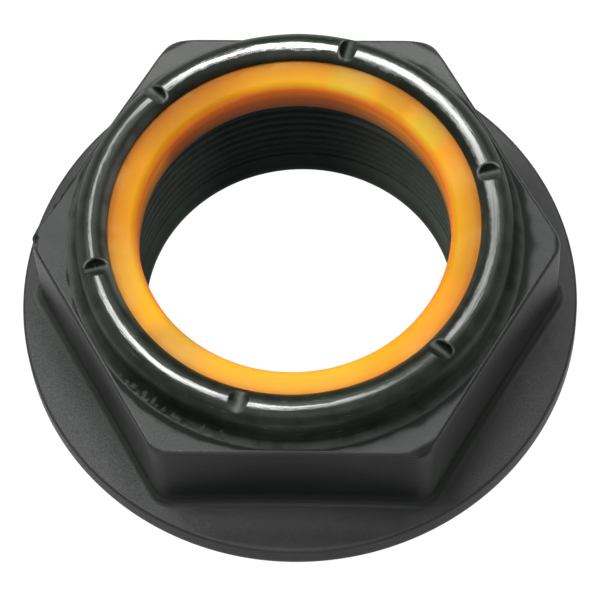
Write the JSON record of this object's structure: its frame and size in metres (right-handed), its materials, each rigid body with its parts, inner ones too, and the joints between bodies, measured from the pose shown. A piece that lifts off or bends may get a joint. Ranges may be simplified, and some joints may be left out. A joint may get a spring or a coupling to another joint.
{
  "type": "serrated flange nut",
  "caption": "Hexagon flange nut with a fine thread, a nylon locking ring rolled into its collar and a serrated bearing face.",
  "frame": {"origin": "middle of the bearing face, on the thread's axis", "axes": "+Z along the thread's axis, from the bearing face up to the collar with the locking ring; +X and -X through opposite corners of the hexagon"},
  "size_m": [0.0614, 0.0614, 0.0214],
  "materials": {
    "phosphated_steel": "dark grey phosphate and oil coating, satin, rubbed bright along the rolled crown",
    "amber_nylon": "moulded amber nylon, slightly waxy"
  },
  "bodies": {
    "root": {"nut_body": "phosphated_steel", "locking_ring": "amber_nylon"}
  },
  "joints": []
}
